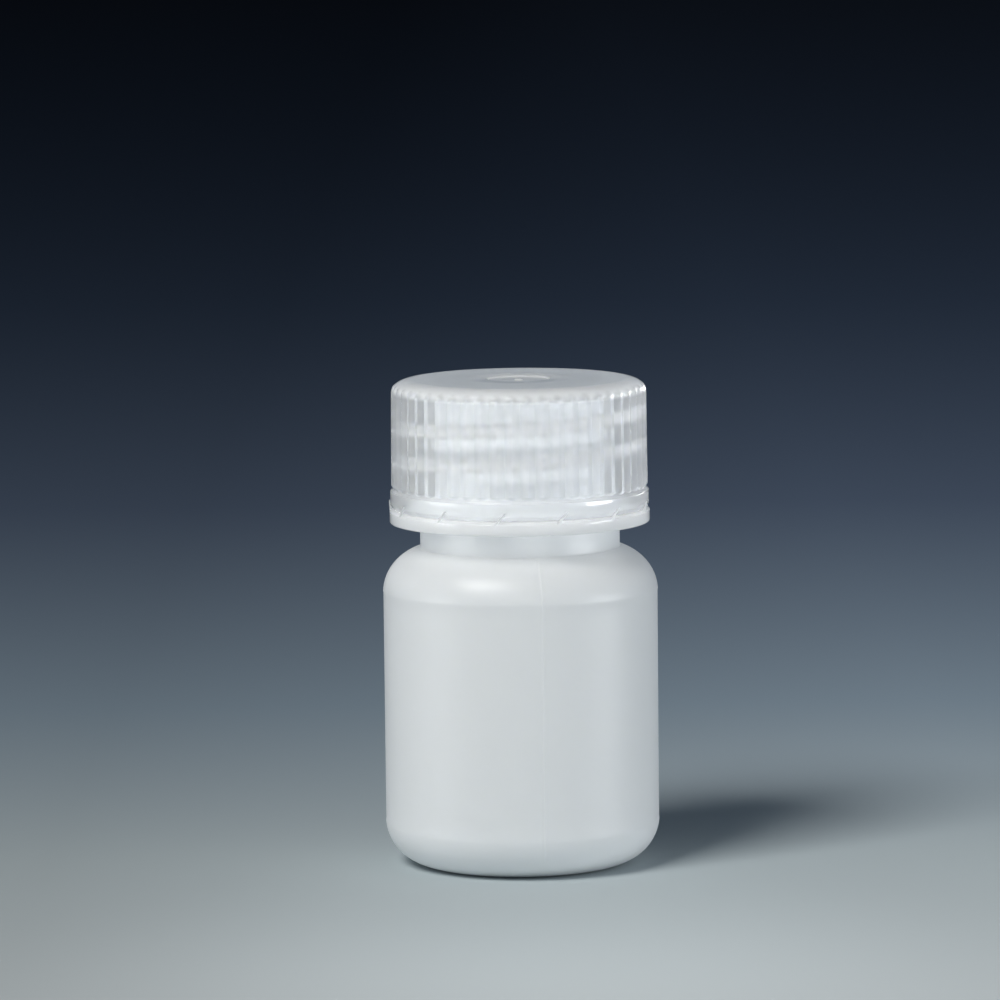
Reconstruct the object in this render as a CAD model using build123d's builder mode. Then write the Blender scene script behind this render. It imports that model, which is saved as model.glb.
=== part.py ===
from build123d import *
from math import cos, pi, radians, sin, sqrt
import os

# Wide-mouth sample bottle with a tamper-evident screw cap.
# Millimetres, +Z up, origin at the centre of the base on the bench, front towards -Y.
# Heights stack up from the bench: body, shoulder, neck, tamper band, cap.

# ---- bottle body ----
body_diameter = 34.6
body_height = 34.4        # bench to the start of the shoulder
body_wall = 1.15
shoulder_step = 0.575     # the inside of the shoulder rises this much less than the outside
base_corner = 5.8         # outer radius between base and side
base_thickness = 1.3
push_up_depth = 0.7       # the middle of the base stands this far off the bench
push_up_diameter = 21.0
push_up_run = 2.4         # radial length of the slope into the push-up

# ---- shoulder and neck ----
shoulder_rise = 5.96      # height of the shoulder's quarter ellipse
shoulder_inset = 1.85     # the ellipse's crown lies this far inside the neck wall
neck_diameter = 25.1
neck_wall = 1.9
neck_bare_height = 3.1    # bare neck between shoulder and tamper band
lip_round = 0.55

# ---- retaining bead on the neck, above the band's lugs ----
bead_stand_out = 1.1
bead_height = 1.0
bead_edge = 0.25          # chamfer under the bead's rim
bead_land = 0.25          # upright part of the rim

# ---- screw thread, right-handed, six turns to the inch ----
thread_pitch = 4.23
root_bury = 0.25          # threads, bead and lugs reach this far into their wall
neck_thread_height = 1.15
neck_thread_root = 1.9
neck_thread_crest = 0.8
neck_thread_turns = 1.9
cap_thread_height = 1.35
cap_thread_root = 1.65
cap_thread_crest = 0.7
cap_thread_turns = 2.05
thread_phase = 60.0       # angle of the cap thread's lower end, from +X
thread_lead_in = 2.3      # from the collar's top to the middle of the thread's lower end

# ---- tamper band ----
band_height = 1.75
band_stand_out = 3.8      # from the neck wall to the band's outer face
band_wall = 1.7
band_edge = 0.25          # rounding of the band's lower outer edge
notch_depth = 0.5         # V groove between band and cap
notch_rise = 0.25         # height of the band's half of the groove
slit = 0.1                # gap left between band and cap
lug_count = 10
lug_reach = 1.4           # from the band's inner face towards the neck
lug_height = 0.9
lug_tip_height = 0.3      # of the lug's inner end
lug_span = 18.0           # degrees
lug_gap = 0.3             # between the lugs and the bead above them

# ---- breakable bridges between band and cap ----
bridge_count = 13
bridge_phase = -71.3      # angle of the first bridge, from +X
bridge_run = 1.3          # length round the ring
bridge_rise = 1.0         # height above the slit
bridge_width = 0.34
bridge_stand_out = 0.07   # proud of the band's outer face
bridge_gap = 0.04         # a bridge stays this far clear of the cap, measured outwards
bridge_overshoot = 1.0    # length cut away again outside the bridges

# ---- screw cap ----
cap_height = 16.2         # slit to the flat top
collar_stand_in = 0.1     # the collar lies this far inside the band's outer face
collar_height = 2.25
collar_notch_rise = 0.45  # height of the collar's half of the groove
collar_chamfer = 0.12
skirt_wall = 1.5          # under the ribs
skirt_draft = 0.13        # radius lost over the cap's height
top_thickness = 1.4
top_corner_run = 2.5      # radial half axis of the rounded top edge
top_corner_drop = 1.06    # vertical half axis of the rounded top edge
top_recess_diameter = 8.0
top_recess_depth = 0.3
gate_diameter = 1.1
gate_height = 0.18
rib_count = 52
rib_height = 0.34
rib_fill = 0.92           # share of the pitch that a rib's foot takes
rib_crest_width = 0.22
rib_bury = 0.3
rib_phase = -86.4         # angle of one rib, from +X
rib_join = 0.99           # largest share of the pitch that the buried foot takes
rib_end_drop = 1.5        # from the cap's top to where a rib begins to taper
rib_end_rise = 0.87       # height of the taper

# ---- plug seal inside the cap ----
seal_clearance = 0.12     # radial, in the bore
seal_wall = 0.9
seal_depth = 2.6
seal_chamfer = 0.35       # radial size of the plug's lead-in
seal_lead_in = 0.7        # height of the lead-in
seal_bury = 0.7           # the plug's root reaches this far into the top plate
lip_clearance = 0.1       # between the neck's lip and the cap's underside

# ---- levels and radii that follow ----
body_radius = body_diameter / 2
neck_radius = neck_diameter / 2
bore_radius = neck_radius - neck_wall
shoulder_crown = neck_radius - shoulder_inset
shoulder_run = body_radius - shoulder_crown
neck_base = body_height + shoulder_rise * sqrt(1 - (shoulder_inset / shoulder_run) ** 2)
band_bottom = neck_base + neck_bare_height
band_top = band_bottom + band_height
band_radius = neck_radius + band_stand_out
band_inner = band_radius - band_wall
notch_radius = band_radius - notch_depth
cap_bottom = band_top + slit
cap_top = cap_bottom + cap_height
cap_underside = cap_top - top_thickness
lip_top = cap_underside - lip_clearance
collar_radius = band_radius - collar_stand_in
collar_top = cap_bottom + collar_height
rib_radius = collar_radius - collar_chamfer
skirt_radius = rib_radius - rib_height
skirt_inner = skirt_radius - skirt_wall
bead_radius = neck_radius + bead_stand_out
lug_top = band_top - notch_rise
bead_bottom = lug_top + lug_gap
seal_radius = bore_radius - seal_clearance
thread_start = collar_top + thread_lead_in

os.makedirs("parts", exist_ok=True)


def thread_ring(root_radius, crest_radius, root, crest, turns, start_z, start_angle):
    """A trapezoid swept along a helix; crest_radius may lie inside or outside root_radius."""
    with BuildPart() as ring:
        with BuildLine(Plane.XY.offset(start_z)) as path:
            Helix(pitch=thread_pitch, height=thread_pitch * turns, radius=root_radius)
        depth = crest_radius - root_radius
        with BuildSketch(Plane(origin=path.line @ 0, x_dir=(1, 0, 0), z_dir=path.line % 0)):
            with BuildLine():
                Polyline((0, -root / 2), (depth, -crest / 2), (depth, crest / 2), (0, root / 2), close=True)
            make_face()
        sweep(path=path.line, is_frenet=True)
    return ring.part.rotate(Axis.Z, start_angle)


def rib_star(level, inset):
    """Closed outline of all the ribs at one level, their feet buried under the skirt's surface."""
    foot_half = rib_fill * 180 / rib_count
    crest_half = foot_half * rib_crest_width / (rib_fill * 2 * pi * rib_radius / rib_count)
    slope = rib_height / (foot_half - crest_half)
    buried_half = min(foot_half + rib_bury / slope, rib_join * 180 / rib_count)
    points = []
    for index in range(rib_count):
        middle = rib_phase + index * 360 / rib_count
        for offset, radius in (
            (-buried_half, skirt_radius - rib_bury),
            (-foot_half, skirt_radius),
            (-crest_half, rib_radius),
            (crest_half, rib_radius),
            (foot_half, skirt_radius),
            (buried_half, skirt_radius - rib_bury),
        ):
            angle = radians(middle + offset)
            points.append(((radius - inset) * cos(angle), (radius - inset) * sin(angle)))
    with BuildSketch(Plane.XY.offset(level)) as star:
        with BuildLine():
            Polyline(*points, close=True)
        make_face()
    return star.sketch


def build_bottle():
    """Blow-moulded body with its neck finish: thread, retaining bead and lip."""
    inner_radius = body_radius - body_wall
    inner_corner = base_corner - body_wall
    floor = push_up_depth + base_thickness
    inner_crown = min(shoulder_crown, bore_radius)
    inner_run = inner_radius - inner_crown
    inner_rise = shoulder_rise - shoulder_step
    push_up_radius = push_up_diameter / 2
    with BuildPart() as bottle:
        with BuildSketch(Plane.XZ):
            with BuildLine():
                Polyline(
                    (0, push_up_depth),
                    (push_up_radius - push_up_run, push_up_depth),
                    (push_up_radius, 0),
                    (body_radius - base_corner, 0),
                )
                RadiusArc(
                    (body_radius - base_corner, 0), (body_radius, base_corner), -base_corner
                )
                Line((body_radius, base_corner), (body_radius, body_height))
                EllipticalCenterArc(
                    (shoulder_crown, body_height), shoulder_run, shoulder_rise, start_angle=0, arc_size=90
                )
                Polyline(
                    (shoulder_crown, body_height + shoulder_rise),
                    (0, body_height + shoulder_rise),
                    (0, push_up_depth),
                )
            make_face()
            with Locations((0, neck_base)):
                Rectangle(neck_radius, lip_top - neck_base, align=(Align.MIN, Align.MIN))
        revolve(axis=Axis.Z)
        with BuildSketch(Plane.XZ):
            with BuildLine():
                Line((0, floor), (inner_radius - inner_corner, floor))
                RadiusArc(
                    (inner_radius - inner_corner, floor),
                    (inner_radius, floor + inner_corner),
                    -inner_corner,
                )
                Line((inner_radius, floor + inner_corner), (inner_radius, body_height))
                EllipticalCenterArc(
                    (inner_crown, body_height), inner_run, inner_rise, start_angle=0, arc_size=90
                )
                Polyline(
                    (inner_crown, body_height + inner_rise),
                    (0, body_height + inner_rise),
                    (0, floor),
                )
            make_face()
            with Locations((0, body_height)):
                Rectangle(bore_radius, cap_top - body_height, align=(Align.MIN, Align.MIN))
        revolve(axis=Axis.Z, mode=Mode.SUBTRACT)
        fillet(bottle.edges().group_by(Axis.Z)[-1], lip_round)
        with BuildSketch(Plane.XZ):
            with BuildLine():
                Polyline(
                    (neck_radius - root_bury, bead_bottom),
                    (bead_radius - bead_edge, bead_bottom),
                    (bead_radius, bead_bottom + bead_edge),
                    (bead_radius, bead_bottom + bead_edge + bead_land),
                    (neck_radius, bead_bottom + bead_height),
                    (neck_radius - root_bury, bead_bottom + bead_height),
                    close=True,
                )
            make_face()
        revolve(axis=Axis.Z)
        add(
            thread_ring(
                neck_radius - root_bury,
                neck_radius + neck_thread_height,
                neck_thread_root,
                neck_thread_crest,
                neck_thread_turns,
                thread_start,
                thread_phase + 180,
            )
        )
    return bottle


def build_screw_cap():
    """Injection-moulded cap: ribbed skirt, smooth collar, plug seal and internal thread."""
    core_radius = skirt_radius - skirt_draft
    corner_bottom = cap_top - top_corner_drop
    rib_end = cap_top - rib_end_drop
    with BuildPart() as cap:
        rib_sketches = [rib_star(collar_top - collar_chamfer, 0), rib_star(cap_top, skirt_draft)]
        loft(rib_sketches, ruled=True)
        with BuildSketch(Plane.XZ):
            with BuildLine():
                Polyline(
                    (0, cap_bottom),
                    (collar_radius, cap_bottom),
                    (collar_radius, rib_end),
                    (core_radius, rib_end + rib_end_rise),
                    (0, rib_end + rib_end_rise),
                    close=True,
                )
            make_face()
        revolve(axis=Axis.Z, mode=Mode.INTERSECT)
        with BuildSketch(Plane.XZ):
            with BuildLine():
                Polyline(
                    (0, cap_top),
                    (0, cap_bottom),
                    (notch_radius, cap_bottom),
                    (collar_radius, cap_bottom + collar_notch_rise),
                    (collar_radius, collar_top - collar_chamfer),
                    (rib_radius, collar_top),
                    (skirt_radius, collar_top),
                    (core_radius, corner_bottom),
                )
                EllipticalCenterArc(
                    (core_radius - top_corner_run, corner_bottom),
                    top_corner_run,
                    top_corner_drop,
                    start_angle=0,
                    arc_size=90,
                )
                Line((core_radius - top_corner_run, cap_top), (0, cap_top))
            make_face()
        revolve(axis=Axis.Z)
        with BuildSketch(Plane.XY.offset(cap_bottom)):
            Circle(skirt_inner)
        extrude(amount=cap_underside - cap_bottom, mode=Mode.SUBTRACT)
        with BuildSketch(Plane.XY.offset(cap_top)):
            Circle(top_recess_diameter / 2)
        extrude(amount=-top_recess_depth, mode=Mode.SUBTRACT)
        with BuildSketch(Plane.XY.offset(cap_top - top_recess_depth)):
            Circle(gate_diameter / 2)
        extrude(amount=gate_height)
        with BuildSketch(Plane.XZ):
            with BuildLine():
                Polyline(
                    (seal_radius - seal_wall, cap_underside + seal_bury),
                    (seal_radius - seal_wall, cap_underside - seal_depth),
                    (seal_radius - seal_chamfer, cap_underside - seal_depth),
                    (seal_radius, cap_underside - seal_depth + seal_lead_in),
                    (seal_radius, cap_underside + seal_bury),
                    close=True,
                )
            make_face()
        revolve(axis=Axis.Z)
        add(
            thread_ring(
                skirt_inner + root_bury,
                skirt_inner - cap_thread_height,
                cap_thread_root,
                cap_thread_crest,
                cap_thread_turns,
                thread_start,
                thread_phase,
            )
        )
    return cap


def build_tamper_band():
    """Ring under the cap, hooked below the neck's bead by short lugs."""
    with BuildPart() as band:
        with BuildSketch(Plane.XZ):
            with BuildLine():
                Polyline(
                    (band_inner, band_bottom),
                    (band_radius - band_edge, band_bottom),
                    (band_radius, band_bottom + band_edge),
                    (band_radius, band_top - notch_rise),
                    (notch_radius, band_top),
                    (band_inner, band_top),
                    close=True,
                )
            make_face()
        revolve(axis=Axis.Z)
        for index in range(lug_count):
            turn = index * 360 / lug_count - lug_span / 2
            with BuildSketch(Plane.XZ.rotated((0, 0, turn))):
                with BuildLine():
                    Polyline(
                        (band_inner + root_bury, lug_top - lug_height),
                        (band_inner, lug_top - lug_height),
                        (band_inner - lug_reach, lug_top - lug_tip_height),
                        (band_inner - lug_reach, lug_top),
                        (band_inner + root_bury, lug_top),
                        close=True,
                    )
                make_face()
            revolve(axis=Axis.Z, revolution_arc=lug_span)
    return band


def build_band_bridges():
    """Slanted webs that stand on the band, cross the groove and lie against the collar."""
    outer = band_radius + bridge_stand_out
    foot = band_top - notch_rise
    half_run = bridge_run / 2
    half_width = bridge_width / 2
    head = cap_bottom + bridge_rise
    with BuildPart() as bridges:
        for index in range(bridge_count):
            turn = bridge_phase + index * 360 / bridge_count
            face = Plane.XZ.rotated((0, 0, turn + 90)).offset(-notch_radius)
            with BuildSketch(face):
                with BuildLine():
                    Polyline(
                        (half_run + half_width, foot),
                        (half_run - half_width, foot),
                        (-half_run - half_width, head),
                        (-half_run + half_width, head),
                        close=True,
                    )
                make_face()
            extrude(amount=-(outer - notch_radius + bridge_overshoot))
        with BuildSketch(Plane.XZ):
            with BuildLine():
                Polyline(
                    (0, band_bottom),
                    (band_radius, band_bottom),
                    (band_radius, band_top - notch_rise),
                    (notch_radius, band_top),
                    (notch_radius + bridge_gap, cap_bottom),
                    (collar_radius + bridge_gap, cap_bottom + collar_notch_rise),
                    (collar_radius + bridge_gap, cap_top),
                    (0, cap_top),
                    close=True,
                )
            make_face()
        revolve(axis=Axis.Z, mode=Mode.SUBTRACT)
        with BuildSketch(Plane.XY.offset(band_bottom)):
            Circle(outer)
        extrude(amount=cap_top - band_bottom, mode=Mode.INTERSECT)
    return bridges


bottle = build_bottle()
bottle.part.label = "bottle"
export_step(bottle.part, "parts/bottle.step")

screw_cap = build_screw_cap()
screw_cap.part.label = "screw_cap"
export_step(screw_cap.part, "parts/screw_cap.step")

tamper_band = build_tamper_band()
tamper_band.part.label = "tamper_band"
export_step(tamper_band.part, "parts/tamper_band.step")

band_bridges = build_band_bridges()
band_bridges.part.label = "band_bridges"
export_step(band_bridges.part, "parts/band_bridges.step")
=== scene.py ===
import math

import bpy
import numpy as np
from mathutils import Matrix, Vector


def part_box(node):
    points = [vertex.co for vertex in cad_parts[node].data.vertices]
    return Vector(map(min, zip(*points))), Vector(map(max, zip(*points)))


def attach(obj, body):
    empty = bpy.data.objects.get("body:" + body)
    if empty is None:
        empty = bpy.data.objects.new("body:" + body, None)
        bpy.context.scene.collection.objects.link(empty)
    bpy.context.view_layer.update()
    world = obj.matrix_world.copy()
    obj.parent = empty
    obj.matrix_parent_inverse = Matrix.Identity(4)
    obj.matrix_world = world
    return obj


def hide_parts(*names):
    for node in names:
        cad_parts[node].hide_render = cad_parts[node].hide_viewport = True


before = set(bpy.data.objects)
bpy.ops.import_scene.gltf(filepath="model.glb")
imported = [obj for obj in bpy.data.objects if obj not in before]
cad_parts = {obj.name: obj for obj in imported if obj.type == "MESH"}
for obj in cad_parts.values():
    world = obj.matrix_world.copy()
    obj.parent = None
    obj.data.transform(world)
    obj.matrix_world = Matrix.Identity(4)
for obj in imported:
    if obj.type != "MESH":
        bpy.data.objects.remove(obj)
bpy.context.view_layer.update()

# A small polyethylene bottle with a ribbed polypropylene screw cap and a breakaway band.
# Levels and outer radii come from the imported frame. The pieces' other sizes are in
# millimetres and degrees from +X; the floor, lamps and camera are in metres.

MM = 0.001


def level(node, corner):
    """Height of a CAD node's lowest (0) or highest (1) point, in millimetres."""
    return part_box(node)[corner].z / MM


def reach(node):
    """Largest radius of a CAD node, in millimetres."""
    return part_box(node)[1].x / MM


# ---- levels and radii from the frame ----
LIP_TOP = level("bottle", 1)
BODY_R = reach("bottle")
CAP_TOP = level("screw_cap", 1)
CAP_BOTTOM = level("screw_cap", 0)
COLLAR_R = reach("screw_cap")
BAND_TOP = level("tamper_band", 1)
BAND_BOTTOM = level("tamper_band", 0)
BAND_R = reach("tamper_band")

# ---- bottle ----
BODY_STRAIGHT_TOP = 34.4
BODY_WALL = 1.15
BASE_CORNER = 5.8
BASE_THICKNESS = 1.3
BASE_RINGS = (3.0, 6.0)    # radii of the rings across the middle of the base
PUSH_UP_DEPTH = 0.7
PUSH_UP_R = 10.5
PUSH_UP_RUN = 2.6          # radial length of the slope into the push-up
SHOULDER_RISE = 5.96
SHOULDER_CROWN = 10.7      # radius of the shoulder ellipse's centre
CREASE_ROUND = 0.25        # between shoulder and neck
NECK_R = 12.55
NECK_MIDDLE = 42.0         # a level on the bare neck
BORE_R = 10.65
BORE_MIDDLE = 50.0         # a level inside the neck
LIP_ROUND = 0.55
BEAD_R = 13.65
BEAD_BOTTOM = 45.02
BEAD_HEIGHT = 1.0
BEAD_ROUND = 0.3
BEAD_LAND = 0.1            # upright part of the bead's rim
PARTING_ANGLE = -81.0      # the mould's parting line
PARTING_WIDTH = 0.16
PARTING_HEIGHT = 0.05

# ---- threads ----
PITCH = 4.23
THREAD_START = 49.62       # level of both threads' lower ends
THREAD_FADE = 25.0         # angle over which a thread's end dies out
NECK_THREAD = {"start_angle": 240.0, "turns": 1.9, "root": 2.1, "crest": 0.7, "depth": 1.15}
CAP_THREAD = {"start_angle": 60.0, "turns": 2.05, "root": 1.75, "crest": 0.6, "depth": 1.3}

# ---- cap: top plate and recess ----
TOP_THICKNESS = 1.4
TOP_RINGS = (7.0, 10.0)    # radii of the rings across the flat top
TOP_CORNER_RUN = 2.5       # the rounded top edge, measured inwards
TOP_CORNER_DROP = 1.06     # the same, measured down
RECESS_R = 4.0
RECESS_DEPTH = 0.2
RECESS_RING = 2.0
RECESS_FOOT = 0.15         # rounding at the recess's floor
RECESS_LIP = 0.12          # rounding at its rim
GATE = ((0, 0.17), (0.35, 0.17), (0.5, 0.1), (0.55, 0.0))    # radius, height over the floor

# ---- cap: skirt, ribs and collar ----
CORE_R = COLLAR_R - 0.57   # the skirt between the ribs, at its top
SKIRT_INNER = 14.3
SKIRT_DRAFT = 0.1          # radius gained down the ribs
RIB_COUNT = 52
RIB_PHASE = -86.4
RIB_HEIGHT = 0.34
RIB_FOOT = 0.46            # half of a rib's foot, as a share of the pitch
RIB_CREST = 0.05           # softening of the crest
RIB_LOWER_TAPER = 1.6      # how much faster a rib dies out at its lower end
COLLAR_TOP = CAP_BOTTOM + 2.25
COLLAR_ROUND = 0.16
COLLAR_LEDGE = 0.3         # the skirt flares by this much into the collar
LEDGE_START = 0.45         # share of the way from rib to collar where the flare begins
RIB_LOW = COLLAR_TOP + 0.75
RIB_HIGH = CAP_TOP - 1.5
RIM_OPENING = 0.3          # lead-in at the skirt's lower inner edge
RIM_RISE = 0.4

# ---- cap: plug seal in the bore ----
SEAL_R = BORE_R - 0.12
SEAL_WALL = 0.9
SEAL_DEPTH = 2.6
SEAL_ROOT = 0.25           # bevel where the seal meets the top plate, outside
SEAL_ROOT_INSIDE = 0.3
UNDERSIDE_ROUND = 0.4

# ---- band, groove, lugs and bridges ----
BAND_INNER = BAND_R - 1.7
BAND_EDGE = 0.25
BAND_CHAMFER = 0.15
GROOVE_ROUND = 0.08
GROOVE_FALL = 0.33         # from the band's top to where its side begins
NOTCH_R = BAND_R - 0.5     # root of the V groove between band and collar
NOTCH_SOFT = 0.05          # half width of the groove's rounded root
LUG_COUNT = 10
LUG_SPAN = 18.0
LUG_REACH = 1.4
LUG_TOP = BAND_TOP - 0.25
LUG_HEIGHT = 0.9
LUG_TIP_HEIGHT = 0.35
LUG_STEPS = 10
BRIDGE_COUNT = 13
BRIDGE_PHASE = -71.3
BRIDGE_RUN = 1.3           # length round the ring
BRIDGE_HALF = 0.17         # half of its width
BRIDGE_EDGE = 0.06         # its outer face is crowned by this much
BRIDGE_STAND_OUT = 0.07
BRIDGE_CLEARANCE = 0.04    # from the collar
BRIDGE_LEAN = 0.38         # how fast its inner face follows the groove outwards
BRIDGE_STEPS = 6

# ---- how milky the cap's plastic looks, from 0 to 1 ----
COLLAR_MILK = 0.2
BAND_MILK = 1.0
TOP_MILK = 0.95
RIB_MILK = 0.1
RIB_WINDOW = 0.85          # share of the top's milk that a rib's end takes away
MILK_FADE = 0.4            # the top's milk dies out this far to each side of the ribs' ends
CLEAR_THIN = 0.74          # clear share of the surface where milk is 0
CLEAR_THICK = 0.15         # the same where milk is 1
LAMP_SHARE = 0.72          # share of the lamps' light that each surface lets through

# ---- floor, lamps and camera ----
FLOOR_X = (-4.0, 4.0)
FLOOR_Y = (-1.2, 9.0)
FALLOFF_ORIGIN = 0.749        # painted falloff of light: the tone falls off with one over the distance from here, in -Y
FALLOFF_SCALE = 0.1353
FALLOFF_SPAN = (0.035, 0.205)
# From the floor's own pale grey-green near the bottle to the dark navy backdrop; the fall between them is
# painted falloff of light.
FLOOR_STOPS = (
    (0.0, (0.045, 0.052, 0.068)),
    (0.3, (0.095, 0.13, 0.195)),
    (0.5, (0.165, 0.215, 0.305)),
    (0.7, (0.36, 0.45, 0.53)),
    (0.85, (0.6, 0.67, 0.69)),
    (1.0, (0.74, 0.79, 0.8)),
)
SIDE_SHADE_SPAN = (-0.06, 0.06)  # painted shade: the floor's colour darkens to the left and brightens to the right across the bottle
PAINTED_SIDE_SHADE = (0.8, 1.2)
# A painted pool of light: the floor's colour is brightened within a radius of this centre.
LIGHT_POOL_CENTRE = (0.0, -0.07, 0.0)
LIGHT_POOL_R = 0.07
PAINTED_LIGHT_POOL = (1.18, 0.92)        # painted pool of light in front of the bottle, and the painted shade on the floor outside it
HORIZON_GLOW = (0.25, 0.29, 0.335, 1)
CEILING_TONE = (0.03, 0.04, 0.055, 1)
GLOW_TOP = 0.22            # height on the world's sphere where the glow begins to fade
CEILING = 0.5
CAP_PIECES = ("cap_shell", "band_ring", "band_lugs", "bridge_webs")
EVERY_PIECE = ("bottle_shell", *CAP_PIECES)
LAMP_AIM = Vector((0.0, 0.0, 0.03))
CAMERA_AIM = Vector((-0.002456, 0.0, 0.045915))
CAMERA_DISTANCE = 0.7542
CAMERA_ELEVATION = math.radians(6.809)
CAMERA_ROLL = math.radians(0.605)


# ---------------------------------------------------------------- meshes
def arc(centre, radii, start, end, steps):
    """Points (r, z) along an ellipse's arc, angles in degrees from the +r direction."""
    angles = np.radians(np.linspace(start, end, steps + 1))
    return [(centre[0] + radii[0] * math.cos(a), centre[1] + radii[1] * math.sin(a)) for a in angles]


def round_arc(centre, radius, start, end, steps):
    return arc(centre, (radius, radius), start, end, steps)


def smooth_step(x):
    x = np.clip(x, 0.0, 1.0)
    return x * x * (3 - 2 * x)


def lathe(name, rows, angles, loop=False):
    """A surface of rings about +Z. A row is (radius, height), each a number or one value a column.

    A row's third value, if it has one, is how milky the plastic is there (0 to 1).
    A first or last row of radius 0 is a pole. With loop, the last row joins the first.
    """
    columns = len(angles)
    cos, sin = np.cos(np.radians(angles)), np.sin(np.radians(angles))
    points, rings, milk = [], [], []
    for radius, height, *cloudy in rows:
        cloudy = cloudy[0] if cloudy else 0.0
        if np.isscalar(radius) and radius == 0:
            rings.append([len(points)] * columns)
            points.append((0.0, 0.0, float(height) * MM))
            milk.append(float(cloudy))
            continue
        milk.extend(np.broadcast_to(cloudy, columns))
        radius = np.broadcast_to(radius, columns)
        height = np.broadcast_to(height, columns)
        rings.append(list(range(len(points), len(points) + columns)))
        points.extend(zip(radius * cos * MM, radius * sin * MM, height * MM))
    faces = []
    pairs = list(zip(rings, rings[1:])) + ([(rings[-1], rings[0])] if loop else [])
    for low, high in pairs:
        for k in range(columns):
            n = (k + 1) % columns
            face = [low[k], low[n], high[n], high[k]]
            faces.append(list(dict.fromkeys(face)))
    return mesh_object(name, points, faces, milk)


def mesh_object(name, points, faces, milk=1.0, crease=32.0):
    """A smooth-shaded mesh whose edges sharper than crease degrees stay crisp."""
    mesh = bpy.data.meshes.new(name)
    mesh.from_pydata(points, [], faces)
    cloudy = np.broadcast_to(np.array(milk, dtype=np.float32), len(points))
    mesh.attributes.new("milk", "FLOAT", "POINT").data.foreach_set("value", cloudy)
    mesh.polygons.foreach_set("use_smooth", [True] * len(mesh.polygons))
    mesh.set_sharp_from_angle(angle=math.radians(crease))
    piece = bpy.data.objects.new(name, mesh)
    bpy.context.scene.collection.objects.link(piece)
    return piece


def add_bar(points, faces, outlines):
    """Join equal closed outlines into a bar with flat ends. A point is (radius, radians, height)."""
    first, count = len(points), len(outlines[0])
    for outline in outlines:
        points += [(r * math.cos(a) * MM, r * math.sin(a) * MM, z * MM) for r, a, z in outline]
    for k in range(len(outlines) - 1):
        low, high = first + k * count, first + (k + 1) * count
        for i in range(count):
            j = (i + 1) % count
            faces.append([low + i, low + j, high + j, high + i])
    last = len(points) - count
    faces.append([first + i for i in range(count)][::-1])
    faces.append([last + i for i in range(count)])


def thread(angles, height, start_angle, turns, root, crest, depth):
    """How far a right-handed trapezoid thread stands out at one height, for each column."""
    out = np.zeros(len(angles))
    for lap in range(-1, int(turns) + 2):
        swept = np.mod(angles - start_angle, 360.0) + 360.0 * lap
        middle = THREAD_START + PITCH * swept / 360.0
        aside = np.abs(height - middle)
        flank = np.clip((root / 2 - aside) / ((root - crest) / 2), 0.0, 1.0)
        fade = smooth_step(swept / THREAD_FADE) * smooth_step((turns * 360.0 - swept) / THREAD_FADE)
        out = np.maximum(out, depth * smooth_step(flank) * fade)
    return out


# ---------------------------------------------------------------- bottle
def bottle_angles():
    """Columns every degree, closer beside the two parting lines."""
    close = np.arange(-1.2, 1.21, 0.15)
    columns = set(np.round(np.arange(0.0, 360.0, 1.0), 3))
    for line in (PARTING_ANGLE, PARTING_ANGLE + 180.0):
        columns |= set(np.round(np.mod(line + close, 360.0), 3))
    return np.array(sorted(columns))


def parting_ridge(angles, radius):
    """Height of the faint ridge that the mould halves leave, for each column."""
    out = np.zeros(len(angles))
    for line in (PARTING_ANGLE, PARTING_ANGLE + 180.0):
        away = np.mod(angles - line + 180.0, 360.0) - 180.0
        out += np.exp(-((np.radians(away) * radius / PARTING_WIDTH) ** 2))
    return PARTING_HEIGHT * out


def body_outline():
    """Outside of the bottle from the middle of its base to the top of the shoulder."""
    outline = [(radius, PUSH_UP_DEPTH) for radius in (0, *BASE_RINGS)]
    for t in np.linspace(0.0, 1.0, 9):
        outline.append((PUSH_UP_R - PUSH_UP_RUN * (1 - t), PUSH_UP_DEPTH * (1 - float(smooth_step(t)))))
    outline += round_arc((BODY_R - BASE_CORNER, BASE_CORNER), BASE_CORNER, -90, 0, 22)
    outline += [(BODY_R, z) for z in np.linspace(BASE_CORNER, BODY_STRAIGHT_TOP, 20)[1:-1]]
    run = BODY_R - SHOULDER_CROWN
    end = math.degrees(math.acos((NECK_R + CREASE_ROUND - SHOULDER_CROWN) / run))
    return outline + arc((SHOULDER_CROWN, BODY_STRAIGHT_TOP), (run, SHOULDER_RISE), 0, end, 26)


def neck_rows(angles):
    """Outside of the neck, from the shoulder's crease over the bead and thread to the bore."""
    along = (NECK_R + CREASE_ROUND - SHOULDER_CROWN) / (BODY_R - SHOULDER_CROWN)
    crease_z = BODY_STRAIGHT_TOP + SHOULDER_RISE * math.sqrt(1 - along**2)
    rows = round_arc((NECK_R + CREASE_ROUND, crease_z + CREASE_ROUND), CREASE_ROUND, -90, -180, 4)[1:]
    rows += [(NECK_R, NECK_MIDDLE), (NECK_R, BEAD_BOTTOM - 0.1)]
    rim = BEAD_R - BEAD_ROUND
    rows += round_arc((rim, BEAD_BOTTOM + BEAD_ROUND), BEAD_ROUND, -90, 0, 4)
    rows += round_arc((rim, BEAD_BOTTOM + BEAD_ROUND + BEAD_LAND), BEAD_ROUND, 0, 60, 3)
    bead_top = BEAD_BOTTOM + BEAD_HEIGHT
    rows.append((NECK_R, bead_top))
    lip_foot = LIP_TOP - LIP_ROUND
    for z in np.arange(bead_top + 0.4, lip_foot - 0.2, 0.2):
        rows.append((NECK_R + thread(angles, z, **NECK_THREAD), z))
    rows += round_arc((NECK_R - LIP_ROUND, lip_foot), LIP_ROUND, 0, 90, 6)
    return rows + round_arc((BORE_R + LIP_ROUND, lip_foot), LIP_ROUND, 90, 180, 6)


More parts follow.
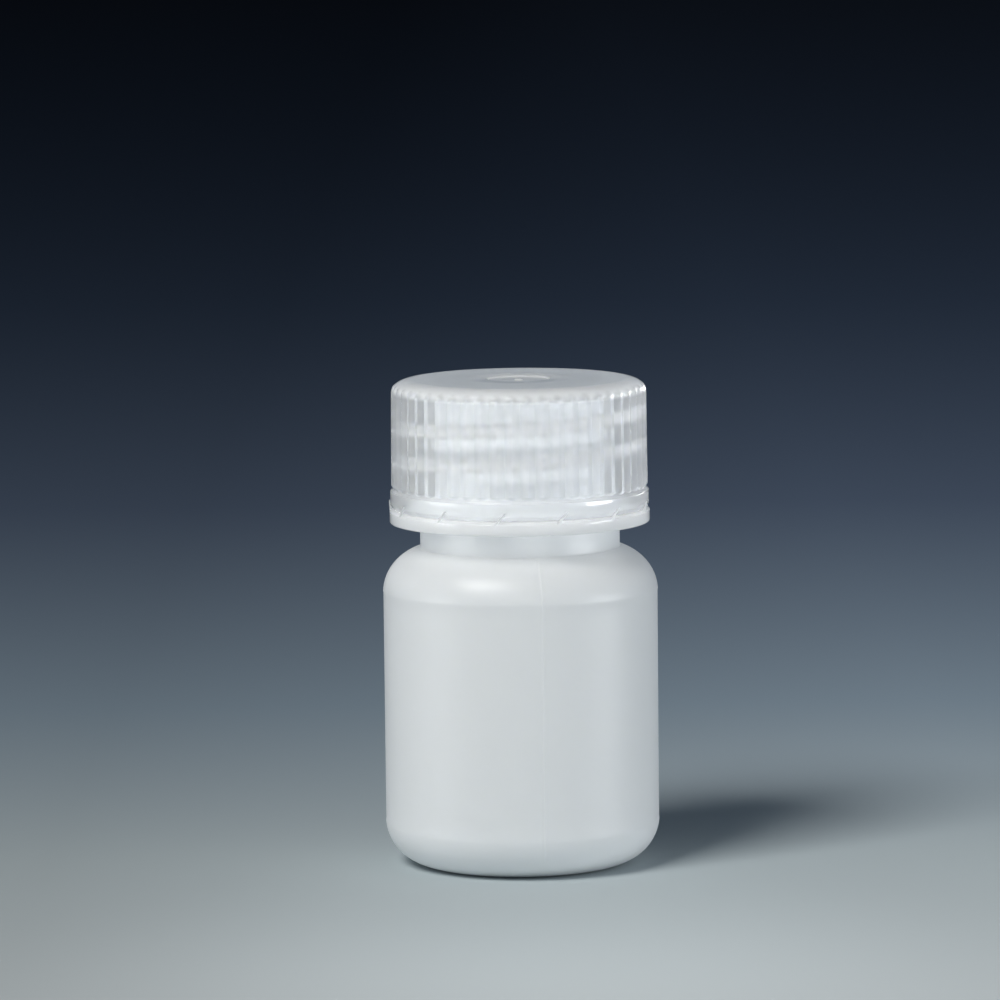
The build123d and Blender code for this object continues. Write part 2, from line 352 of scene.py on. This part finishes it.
def bottle_inside():
    """Inside of the bottle, from the bore down to the middle of its floor."""
    inner_r = BODY_R - BODY_WALL
    inner_rise = SHOULDER_RISE - BODY_WALL / 2
    floor = PUSH_UP_DEPTH + BASE_THICKNESS
    corner = BASE_CORNER - BODY_WALL
    outline = [(BORE_R, BORE_MIDDLE), (BORE_R, NECK_MIDDLE)]
    outline += arc((BORE_R, BODY_STRAIGHT_TOP), (inner_r - BORE_R, inner_rise), 86, 0, 14)
    outline += round_arc((inner_r - corner, floor + corner), corner, 0, -90, 10)
    return outline + [(BASE_RINGS[1], floor), (0, floor)]


def build_bottle():
    angles = bottle_angles()
    rows = []
    for radius, z in body_outline():
        if radius > PUSH_UP_R:
            ridge = parting_ridge(angles, radius) * min(1.0, (radius - PUSH_UP_R) / 2)
            rows.append((radius + ridge * (z > BASE_CORNER / 2) - PARTING_HEIGHT * (radius >= BODY_R), z))
        else:
            rows.append((radius, z))
    return lathe("bottle_shell", rows + neck_rows(angles) + bottle_inside(), angles)


# ---------------------------------------------------------------- cap
def rib_angles():
    """Columns that fall on each rib's crest, flanks and feet."""
    offsets = np.array([-0.5, -0.4, -0.27, -0.14, -0.05, 0.0, 0.05, 0.14, 0.27, 0.4])
    turns = RIB_PHASE / 360.0 + (np.arange(RIB_COUNT)[:, None] + offsets) / RIB_COUNT
    return turns.ravel() * 360.0


def rib_relief(angles, z):
    """Height of the ribs at one level: triangular across, with half cones at their ends."""
    pitch = 2 * math.pi * CORE_R / RIB_COUNT
    across = (np.mod((angles - RIB_PHASE) / 360.0 * RIB_COUNT + 0.5, 1.0) - 0.5) * pitch
    beyond = max(0.0, z - RIB_HIGH) + max(0.0, RIB_LOW - z) * RIB_LOWER_TAPER
    away = np.sqrt(across**2 + beyond**2 + RIB_CREST**2) - RIB_CREST
    return RIB_HEIGHT * np.clip(1 - away / (RIB_FOOT * pitch), 0.0, 1.0)


def top_rows():
    """The flat top, from the gate mark in its recess out to the rounded edge."""
    floor = CAP_TOP - RECESS_DEPTH
    outline = [(radius, floor + rise) for radius, rise in GATE]
    outline.append((RECESS_RING, floor))
    outline += round_arc((RECESS_R - 0.25, floor + RECESS_FOOT), RECESS_FOOT, -90, 0, 3)
    outline += round_arc((RECESS_R + 0.1, CAP_TOP - RECESS_LIP), RECESS_LIP, 180, 90, 3)
    outline += [(radius, CAP_TOP) for radius in TOP_RINGS]
    return [(radius, z, TOP_MILK) for radius, z in outline]


def skirt_rows(angles):
    """The rounded top edge, the ribbed skirt and its flare into the collar."""
    rows = []
    straight_top = CAP_TOP - TOP_CORNER_DROP
    fade_end = RIB_HIGH - MILK_FADE
    dome = arc((CORE_R - TOP_CORNER_RUN, straight_top), (TOP_CORNER_RUN, TOP_CORNER_DROP), 90, 8, 18)
    dome += [(CORE_R, z) for z in np.linspace(straight_top, fade_end, 9)]
    for radius, z in dome:
        relief = rib_relief(angles, z)
        thick = smooth_step((z - fade_end) / (2 * MILK_FADE)) * (1 - RIB_WINDOW * relief / RIB_HEIGHT)
        rows.append((radius + relief, z, TOP_MILK * thick))
    for z in np.linspace(fade_end, RIB_LOW, 8)[1:]:
        swell = SKIRT_DRAFT * (RIB_HIGH - z) / (RIB_HIGH - RIB_LOW)
        relief = rib_relief(angles, z)
        rows.append((CORE_R + swell + relief, z, RIB_MILK * relief / RIB_HEIGHT))
    foot_r = CORE_R + SKIRT_DRAFT
    for t in np.linspace(0.0, 1.0, 9)[1:]:
        z = RIB_LOW - t * (RIB_LOW - COLLAR_TOP)
        flare = COLLAR_LEDGE * smooth_step((t - LEDGE_START) / (1 - LEDGE_START))
        rows.append((np.maximum(foot_r + flare, foot_r + rib_relief(angles, z)), z, COLLAR_MILK * t))
    return rows


def collar_rows():
    """The collar, its half of the V groove, the cap's rim and the lead-in inside it."""
    edge = ((0.0, 1.2), (0.0, 0.6), (0.03, 0.5), (0.1, 0.42))    # in from the collar, up from the rim
    outline = round_arc((COLLAR_R - COLLAR_ROUND, COLLAR_TOP - COLLAR_ROUND), COLLAR_ROUND, 80, 0, 4)
    outline += [(COLLAR_R - inwards, CAP_BOTTOM + rise) for inwards, rise in edge]
    outline += [(NOTCH_R + NOTCH_SOFT, CAP_BOTTOM + 0.04), (NOTCH_R - NOTCH_SOFT, CAP_BOTTOM)]
    outline += [(15.0, CAP_BOTTOM), (SKIRT_INNER + RIM_OPENING, CAP_BOTTOM)]
    outline += [(SKIRT_INNER, CAP_BOTTOM + RIM_RISE), (SKIRT_INNER, CAP_BOTTOM + 2.0)]
    return [(radius, z, COLLAR_MILK) for radius, z in outline]


def cap_inside(angles):
    """The cap's thread, its underside and the plug seal."""
    rows = []
    underside = CAP_TOP - TOP_THICKNESS
    for z in np.arange(CAP_BOTTOM + 3.2, underside - 0.5, 0.22):
        depth = thread(angles, z, **CAP_THREAD)
        rows.append((SKIRT_INNER - depth, z, depth / CAP_THREAD["depth"]))
    corner = (SKIRT_INNER - UNDERSIDE_ROUND, underside - UNDERSIDE_ROUND)
    rows += round_arc(corner, UNDERSIDE_ROUND, 0, 90, 4)
    tip = underside - SEAL_DEPTH
    bore = SEAL_R - SEAL_WALL
    rows += [(12.0, underside), (SEAL_R + SEAL_ROOT, underside), (SEAL_R, underside - SEAL_ROOT)]
    rows += [(SEAL_R, tip + 0.7), (SEAL_R - 0.3, tip + 0.05), (SEAL_R - 0.45, tip), (bore, tip)]
    rows += [(bore, underside - SEAL_ROOT_INSIDE), (bore - SEAL_ROOT_INSIDE, underside)]
    return rows + [(5.0, underside), (0, underside)]


def build_cap():
    angles = rib_angles()
    rows = top_rows() + skirt_rows(angles) + collar_rows() + cap_inside(angles)
    return lathe("cap_shell", rows[::-1], angles)


# ---------------------------------------------------------------- band and bridges
def build_band():
    angles = np.arange(0.0, 360.0, 1.0)
    rows = [(BAND_INNER, BAND_BOTTOM + BAND_CHAMFER), (BAND_INNER + BAND_CHAMFER, BAND_BOTTOM)]
    rows.append((15.4, BAND_BOTTOM))
    rows += round_arc((BAND_R - BAND_EDGE, BAND_BOTTOM + BAND_EDGE), BAND_EDGE, -90, 0, 6)
    rows.append((BAND_R, BAND_BOTTOM + 0.9))
    rows += round_arc((BAND_R - GROOVE_ROUND, BAND_TOP - GROOVE_FALL), GROOVE_ROUND, 0, 60, 4)
    rows += [(NOTCH_R + NOTCH_SOFT, BAND_TOP - 0.03), (NOTCH_R - NOTCH_SOFT, BAND_TOP)]
    rows.append((BAND_INNER, BAND_TOP))
    return lathe("band_ring", [(radius, z, BAND_MILK) for radius, z in rows], angles, loop=True)


def build_lugs():
    """Short hooks inside the band, under the neck's bead."""
    root, tip = BAND_INNER + 0.1, BAND_INNER - LUG_REACH
    bottom = LUG_TOP - LUG_HEIGHT
    section = (
        (root, bottom), (BAND_INNER, bottom), (tip, LUG_TOP - LUG_TIP_HEIGHT),
        (tip, LUG_TOP), (root, LUG_TOP),
    )
    points, faces = [], []
    for lug in range(LUG_COUNT):
        outlines = []
        for k in range(LUG_STEPS + 1):
            a = math.radians(lug * 360.0 / LUG_COUNT - LUG_SPAN / 2 + LUG_SPAN * k / LUG_STEPS)
            outlines.append([(r, a, z) for r, z in section])
        add_bar(points, faces, outlines)
    return mesh_object("band_lugs", points, faces)


def build_bridges():
    """Slanted webs across the groove, from the band up over the collar's edge."""
    points, faces = [], []
    foot, top = BAND_TOP - GROOVE_FALL, CAP_BOTTOM + 1.0
    outer = BAND_R + BRIDGE_STAND_OUT
    edge = outer - BRIDGE_EDGE
    for bridge in range(BRIDGE_COUNT):
        middle = math.radians(BRIDGE_PHASE + bridge * 360.0 / BRIDGE_COUNT)
        outlines = []
        for t in np.linspace(0.0, 1.0, BRIDGE_STEPS + 1):
            z = foot + (top - foot) * t
            over_collar = z > CAP_BOTTOM + 0.45
            inner = COLLAR_R + BRIDGE_CLEARANCE if over_collar else NOTCH_R + 0.1 + (z - foot) * BRIDGE_LEAN
            section = (
                (inner, -BRIDGE_HALF), (edge, -BRIDGE_HALF), (outer, 0.0),
                (edge, BRIDGE_HALF), (inner, BRIDGE_HALF),
            )
            along = BRIDGE_RUN * (t - 0.5)
            outlines.append([(r, middle + (along + side) / BAND_R, z) for r, side in section])
        add_bar(points, faces, outlines)
    return mesh_object("bridge_webs", points, faces)


# ---------------------------------------------------------------- materials
def feed(links, socket, value):
    """Link value to a socket when it is another node's output, and set it otherwise."""
    if isinstance(value, bpy.types.NodeSocket):
        links.new(value, socket)
    else:
        socket.default_value = value


def calculate(tree, operation, first, second):
    """The output of a maths node."""
    node = tree.nodes.new("ShaderNodeMath")
    node.operation = operation
    feed(tree.links, node.inputs[0], first)
    feed(tree.links, node.inputs[1], second)
    return node.outputs["Value"]


def rescale(tree, value, span, result, interpolation="LINEAR"):
    """The output of a node that carries the span's ends to the result's ends, clamped."""
    node = tree.nodes.new("ShaderNodeMapRange")
    node.interpolation_type = interpolation
    node.inputs["From Min"].default_value, node.inputs["From Max"].default_value = span
    node.inputs["To Min"].default_value, node.inputs["To Max"].default_value = result
    tree.links.new(value, node.inputs["Value"])
    return node.outputs["Result"]


def noise(tree, place, scale, detail):
    node = tree.nodes.new("ShaderNodeTexNoise")
    node.inputs["Scale"].default_value = scale
    node.inputs["Detail"].default_value = detail
    tree.links.new(place, node.inputs["Vector"])
    return node.outputs["Fac"]


def new_material(name):
    """A material, its node tree and its Principled shader."""
    material = bpy.data.materials.new(name)
    material.use_nodes = True
    return material, material.node_tree, material.node_tree.nodes["Principled BSDF"]


def moulded_plastic(name, colour, tint, roughness, uneven, settings, relief, grain):
    """Natural plastic: two close tones, uneven gloss and a fine moulded surface."""
    material, tree, shader = new_material(name)
    nodes, links = tree.nodes, tree.links
    for socket, value in settings.items():
        shader.inputs[socket].default_value = value
    place = nodes.new("ShaderNodeTexCoord").outputs["Object"]
    cloud = noise(tree, place, 90.0, 4.0)
    tone = nodes.new("ShaderNodeMix")
    tone.data_type = "RGBA"
    tone.inputs["A"].default_value = (*colour, 1.0)
    tone.inputs["B"].default_value = (*tint, 1.0)
    links.new(cloud, tone.inputs["Factor"])
    links.new(tone.outputs["Result"], shader.inputs["Base Color"])
    gloss = rescale(tree, cloud, (0.3, 0.7), (roughness - uneven, roughness + uneven))
    links.new(gloss, shader.inputs["Roughness"])
    bump = nodes.new("ShaderNodeBump")
    bump.inputs["Strength"].default_value = relief
    bump.inputs["Distance"].default_value = 0.04 * MM
    links.new(noise(tree, place, grain, 3.0), bump.inputs["Height"])
    links.new(bump.outputs["Normal"], shader.inputs["Normal"])
    return material


def bottle_plastic():
    settings = {
        "Subsurface Weight": 0.85,
        "Subsurface Radius": (1.0, 1.0, 1.05),
        "Subsurface Scale": 0.0016,
        "IOR": 1.53,
    }
    return moulded_plastic(
        "bottle_plastic", (0.86, 0.875, 0.88), (0.84, 0.855, 0.865), 0.38, 0.05, settings, 0.35, 900.0
    )


def cap_plastic():
    """Natural polypropylene: a clear skin with a milky share that grows where the wall is thick."""
    settings = {
        "Subsurface Weight": 1.0,
        "Subsurface Radius": (1.0, 1.0, 1.05),
        "Subsurface Scale": 0.003,
        "IOR": 1.45,
    }
    material = moulded_plastic(
        "cap_plastic", (0.93, 0.95, 0.97), (0.915, 0.935, 0.96), 0.05, 0.012, settings, 0.02, 1400.0
    )
    tree = material.node_tree
    milk = tree.nodes.new("ShaderNodeAttribute")
    milk.attribute_name = "milk"
    clear = rescale(tree, milk.outputs["Fac"], (0.0, 1.0), (CLEAR_THIN, CLEAR_THICK))
    tree.links.new(clear, tree.nodes["Principled BSDF"].inputs["Transmission Weight"])
    return let_light_in(material, LAMP_SHARE)


def let_light_in(material, share):
    """Lamps reach what lies behind the material, dimmed to a share."""
    tree = material.node_tree
    nodes, links = tree.nodes, tree.links
    path = nodes.new("ShaderNodeLightPath")
    clear = nodes.new("ShaderNodeBsdfTransparent")
    blend = nodes.new("ShaderNodeMixShader")
    links.new(calculate(tree, "MULTIPLY", path.outputs["Is Shadow Ray"], share), blend.inputs["Fac"])
    links.new(nodes["Principled BSDF"].outputs["BSDF"], blend.inputs[1])
    links.new(clear.outputs["BSDF"], blend.inputs[2])
    links.new(blend.outputs["Shader"], nodes["Material Output"].inputs["Surface"])
    return material


# ---------------------------------------------------------------- stage, lights, camera
def floor_material():
    """Pale grey-green that darkens to navy with distance, partly the backdrop's own tone and partly painted
    falloff of light, with a painted pool of light in front and painted shade towards the left.
    """
    material, tree, shader = new_material("floor")
    nodes, links = tree.nodes, tree.links
    shader.inputs["Roughness"].default_value = 0.8
    shader.inputs["Specular IOR Level"].default_value = 0.0
    place = nodes.new("ShaderNodeTexCoord").outputs["Object"]
    split = nodes.new("ShaderNodeSeparateXYZ")
    links.new(place, split.inputs["Vector"])
    # painted falloff of light: the floor's colour darkens with distance behind the bottle towards the navy
    # backdrop
    away = calculate(tree, "ADD", split.outputs["Y"], FALLOFF_ORIGIN)
    near = calculate(tree, "DIVIDE", FALLOFF_SCALE, away)
    ramp = nodes.new("ShaderNodeValToRGB")
    links.new(rescale(tree, near, FALLOFF_SPAN, (0.0, 1.0)), ramp.inputs["Fac"])
    set_stops(ramp, [(position, (*colour, 1)) for position, colour in FLOOR_STOPS])
    # painted shade: the floor's colour is darker to the left of the bottle and brighter to the right
    side_shade = rescale(tree, split.outputs["X"], SIDE_SHADE_SPAN, PAINTED_SIDE_SHADE)
    spread = nodes.new("ShaderNodeVectorMath")
    spread.operation = "DISTANCE"
    spread.inputs[1].default_value = LIGHT_POOL_CENTRE
    links.new(place, spread.inputs[0])
    # painted pool of light: the floor's colour is brighter near the front of the bottle and darker outside
    # it
    pool = rescale(tree, spread.outputs["Value"], (0.0, LIGHT_POOL_R), PAINTED_LIGHT_POOL, "SMOOTHSTEP")
    tone = nodes.new("ShaderNodeVectorMath")
    tone.operation = "SCALE"
    links.new(ramp.outputs["Color"], tone.inputs[0])
    links.new(calculate(tree, "MULTIPLY", side_shade, pool), tone.inputs["Scale"])
    links.new(tone.outputs["Vector"], shader.inputs["Base Color"])
    return material


def set_stops(ramp, stops):
    """Give a colour ramp the stops listed, from first to last."""
    elements = ramp.color_ramp.elements
    for element, (position, colour) in zip(elements, (stops[0], stops[-1])):
        element.position, element.color = position, colour
    for position, colour in stops[1:-1]:
        elements.new(position).color = colour


def build_floor():
    points = [(x, y, 0.0) for y in FLOOR_Y for x in FLOOR_X]
    floor = mesh_object("floor", points, [[0, 1, 3, 2]])
    floor.data.materials.append(floor_material())


def area_light(name, place, size, power, colour, only=()):
    """A rectangular lamp aimed at the bottle; with only, it lights just the pieces named."""
    data = bpy.data.lights.new(name, "AREA")
    data.shape = "RECTANGLE"
    data.size, data.size_y = size
    data.energy = power
    data.color = colour
    lamp = bpy.data.objects.new(name, data)
    bpy.context.scene.collection.objects.link(lamp)
    lamp.location = place
    lamp.rotation_euler = (LAMP_AIM - Vector(place)).to_track_quat("-Z", "Y").to_euler()
    if only:
        lit = bpy.data.collections.new(name + "_lit")
        for piece in only:
            lit.objects.link(bpy.data.objects[piece])
        lamp.light_linking.receiver_collection = lit


def glowing_world():
    """A dim room whose walls are brightest near the horizon."""
    world = bpy.data.worlds.new("studio")
    world.use_nodes = True
    nodes, links = world.node_tree.nodes, world.node_tree.links
    place = nodes.new("ShaderNodeTexCoord")
    split = nodes.new("ShaderNodeSeparateXYZ")
    links.new(place.outputs["Generated"], split.inputs["Vector"])
    glow = nodes.new("ShaderNodeValToRGB")
    links.new(split.outputs["Z"], glow.inputs["Fac"])
    set_stops(glow, [(0.0, HORIZON_GLOW), (GLOW_TOP, HORIZON_GLOW), (CEILING, CEILING_TONE)])
    links.new(glow.outputs["Color"], nodes["Background"].inputs["Color"])
    return world


def build_lights():
    area_light("key", (-0.36, -0.43, 0.66), (0.34, 0.34), 4.4, (1.0, 1.0, 0.98))
    area_light("front", (0.0, -0.8, 0.3), (0.36, 0.1), 0.5, (0.99, 0.99, 1.0), EVERY_PIECE)
    area_light("right", (0.78, -0.22, 0.06), (0.4, 0.1), 2.2, (0.96, 0.98, 1.0), EVERY_PIECE)
    area_light("left", (-0.75, -0.25, 0.06), (0.4, 0.1), 0.85, (0.96, 0.98, 1.0), EVERY_PIECE)
    area_light("back", (0.55, 0.5, 0.09), (0.4, 0.12), 2.2, (1.0, 0.99, 0.98), CAP_PIECES)
    bpy.context.scene.world = glowing_world()
    bpy.context.scene.view_settings.view_transform = "Standard"


def build_camera():
    """A long lens a little above the bottle, rolled slightly."""
    forward = Vector((0.0, math.cos(CAMERA_ELEVATION), -math.sin(CAMERA_ELEVATION)))
    right = Vector((1.0, 0.0, 0.0))
    up = right.cross(forward)
    rolled_right = right * math.cos(CAMERA_ROLL) - up * math.sin(CAMERA_ROLL)
    rolled_up = right * math.sin(CAMERA_ROLL) + up * math.cos(CAMERA_ROLL)
    data = bpy.data.cameras.new("camera")
    data.lens = 216.0
    data.sensor_width = 36.0
    data.clip_start = 0.05
    data.clip_end = 10.0
    camera = bpy.data.objects.new("camera", data)
    bpy.context.scene.collection.objects.link(camera)
    turn = Matrix((rolled_right, rolled_up, -forward)).transposed().to_4x4()
    camera.matrix_world = Matrix.Translation(CAMERA_AIM - forward * CAMERA_DISTANCE) @ turn
    bpy.context.scene.camera = camera


# ---------------------------------------------------------------- assembly
def place_piece(piece, body, material, slot, *nodes):
    """Give a piece its material and body, and hide the CAD nodes that it replaces. The slot argument is not
    used.
    """
    piece.data.materials.append(material)
    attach(piece, body)
    if nodes:
        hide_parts(*nodes)


bottle_look = bottle_plastic()
cap_look = cap_plastic()
place_piece(build_bottle(), "bottle", bottle_look, "bottle_plastic", "bottle")
place_piece(build_cap(), "cap", cap_look, "cap_plastic", "screw_cap")
place_piece(build_band(), "band", cap_look, "cap_plastic", "tamper_band")
place_piece(build_lugs(), "band", cap_look, "cap_plastic")
place_piece(build_bridges(), "band", cap_look, "cap_plastic", "band_bridges")
build_floor()
build_lights()
build_camera()
